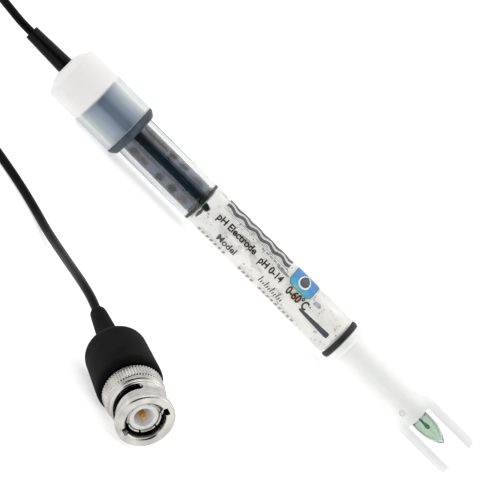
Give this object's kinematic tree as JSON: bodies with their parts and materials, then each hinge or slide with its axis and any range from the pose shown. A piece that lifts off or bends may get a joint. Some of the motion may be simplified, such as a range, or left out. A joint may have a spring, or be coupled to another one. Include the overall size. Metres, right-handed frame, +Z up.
{
  "type": "water quality probe",
  "caption": "Clear-bodied combination pH electrode with a frosted cap, a spear-shaped glass tip behind a two-pronged guard, and a coiled lead to a bayonet plug.",
  "frame": {"origin": "on the plane the probe lies on, under the middle of the probe with its strain relief", "axes": "+X along the probe from the cap to the glass tip, +Z up"},
  "size_m": [0.219, 0.2004, 0.0162],
  "materials": {
    "black_rubber": "matt",
    "lead_jacket": "satin",
    "frosted_cap": "frosted translucent",
    "slate_epoxy": "satin",
    "dark_epoxy": "glossy cast",
    "white_epoxy": "cast",
    "clear_plastic": "polished clear",
    "white_plastic": "moulded translucent",
    "cream_gel": "wet gel",
    "clear_glass": "polished",
    "green_glass": "polished",
    "navy_ceramic": "matt",
    "grey_ceramic": "porous",
    "nickel": "bright nickel plate",
    "steel": "stamped",
    "silver": "chlorided silver",
    "copper": "bare wire",
    "gold": "gold plate",
    "white_ptfe": "turned",
    "polythene": "extruded"
  },
  "bodies": {
    "root": {"strain_relief_sleeve": "black_rubber", "end_cap": "frosted_cap", "cap_shoulder_ring": "slate_epoxy", "cable_clamp": "steel", "cap_filling": "white_epoxy", "lead_end_in_cap": "lead_jacket", "centre_conductor": "copper", "body_tube": "clear_plastic", "potting_core": "dark_epoxy", "bulkhead": "dark_epoxy", "bulkhead_oring": "black_rubber", "gel_fill": "cream_gel", "reference_wire": "silver", "reference_element": "navy_ceramic", "guard_oring": "black_rubber", "glass_stem": "clear_glass", "spear_membrane": "green_glass", "silver_element": "silver", "stem_seal": "black_rubber", "guard": "white_plastic", "reference_junction": "grey_ceramic", "wave_spring": "steel", "plug_body": "nickel", "contact_sleeve": "nickel", "plug_insulator": "white_ptfe", "centre_pin": "gold", "crimp_ferrule": "nickel", "plug_boot": "black_rubber", "plug_tail": "black_rubber", "plug_core_wire": "polythene", "lead_end_in_plug": "lead_jacket", "lead_run_probe": "lead_jacket", "lead_coil": "lead_jacket", "lead_tie": "black_rubber", "lead_run_plug": "lead_jacket"},
    "thrust_washer": {"thrust_washer": "steel"},
    "coupling_nut": {"coupling_nut": "nickel", "nut_retaining_ring": "steel"}
  },
  "joints": [
    {"name": "nut_pull", "type": "slide", "parent": "root", "child": "thrust_washer", "axis": [0.5299, -0.848, 0], "range_m": [0, 0.0006], "stiffness_N_per_m": 400, "springref_m": -0.001, "deforming": ["wave_spring"]},
    {"name": "nut_turn", "type": "hinge", "parent": "thrust_washer", "child": "coupling_nut", "pos_m": [-0.0016, -0.1857, 0.0081], "axis": [0.5299, -0.848, 0], "continuous": true}
  ]
}
